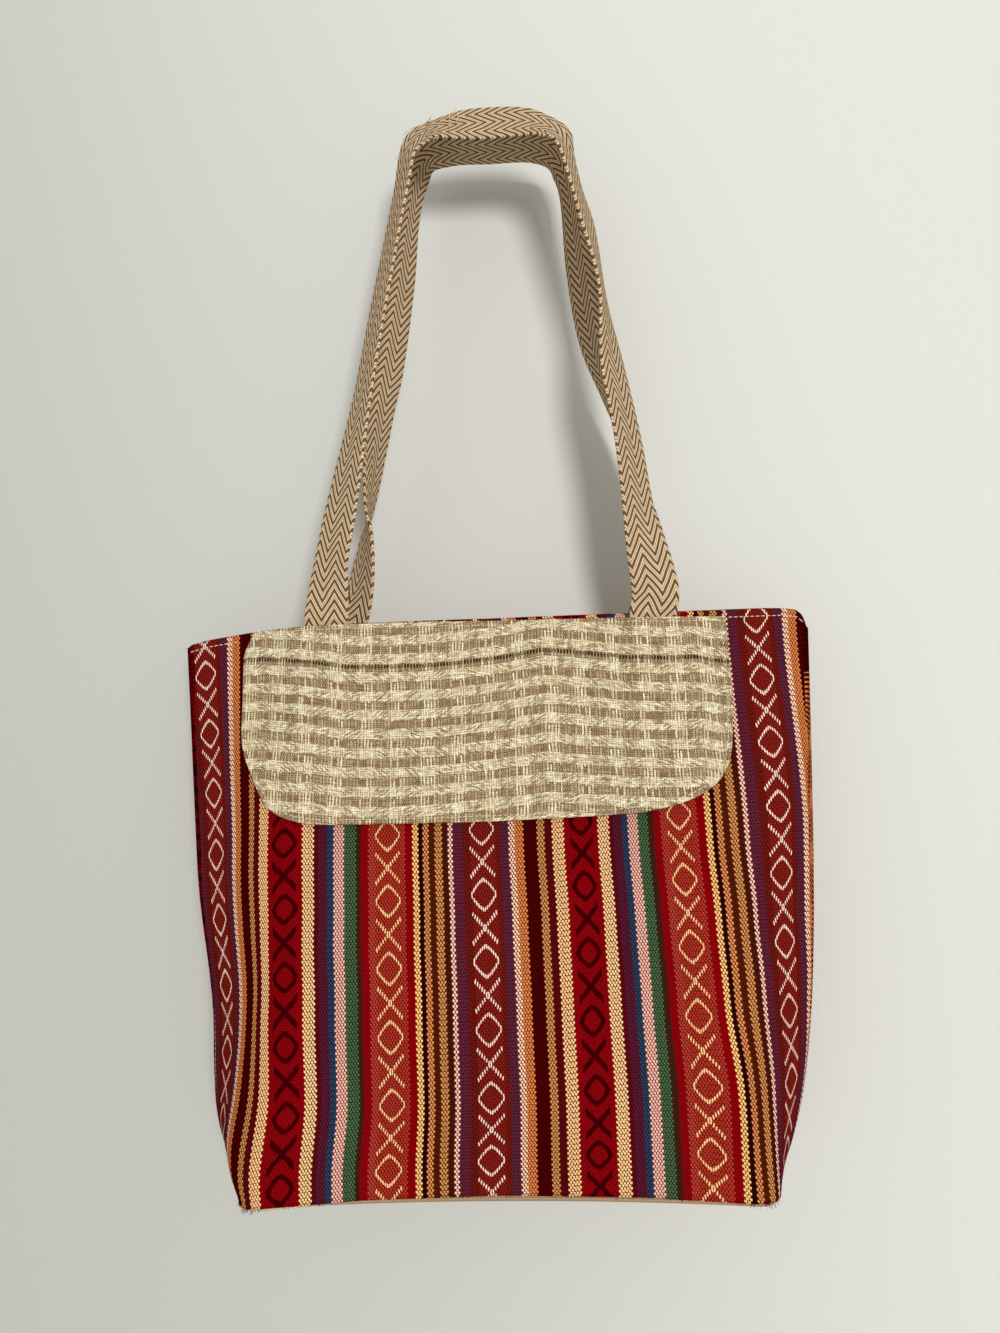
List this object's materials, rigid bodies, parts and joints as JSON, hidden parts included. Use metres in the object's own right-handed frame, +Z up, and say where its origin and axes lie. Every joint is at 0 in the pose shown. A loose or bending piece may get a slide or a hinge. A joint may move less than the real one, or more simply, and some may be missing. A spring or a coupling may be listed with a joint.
{
  "type": "tote bag",
  "caption": "Canvas tote bag with a boxed base, striped woven body, check front flap and twisted webbing handles that hang together from one place.",
  "frame": {"origin": "centre of the boxed base's underside, on the ground", "axes": "+Z up through the mouth and the handles, -Y out of the front, where the flap is, +X to the right seen from the front"},
  "size_m": [0.406, 0.0977, 0.6901],
  "materials": {
    "striped_cloth": "warp-faced striped weave in wool and cotton, matt",
    "check_cloth": "slubby hemp check in cream and brown, matt",
    "base_canvas": "plain undyed canvas, matt",
    "lining_cotton": "plain undyed cotton, matt",
    "webbing": "herringbone jute webbing, matt"
  },
  "bodies": {
    "bag": {"front_panel": "striped_cloth", "back_panel": "striped_cloth", "hem_front": "striped_cloth", "hem_back": "striped_cloth", "base_panel": "base_canvas", "lining_front": "lining_cotton", "lining_back": "lining_cotton", "lining_base": "lining_cotton", "flap_margin_strip": "check_cloth", "front_handle_end_left": "webbing", "front_handle_end_right": "webbing", "back_handle_end_left": "webbing", "back_handle_end_right": "webbing"},
    "flap": {"flap_face": "check_cloth", "flap_lining": "lining_cotton"},
    "front_handle": {"front_handle": "webbing"},
    "back_handle": {"back_handle": "webbing"}
  },
  "joints": [
    {"name": "flap_lift", "type": "hinge", "parent": "bag", "child": "flap", "pos_m": [0, -0.01289, 0.324], "axis": [-1, 0, 0], "range_deg": [0, 100]},
    {"name": "front_handle_fold", "type": "hinge", "parent": "bag", "child": "front_handle", "pos_m": [0, -0.00566, 0.34215], "axis": [1, 0, 0], "range_deg": [0, 70]},
    {"name": "back_handle_fold", "type": "hinge", "parent": "bag", "child": "back_handle", "pos_m": [0, 0.02566, 0.34215], "axis": [-1, 0, 0], "range_deg": [0, 160]}
  ]
}
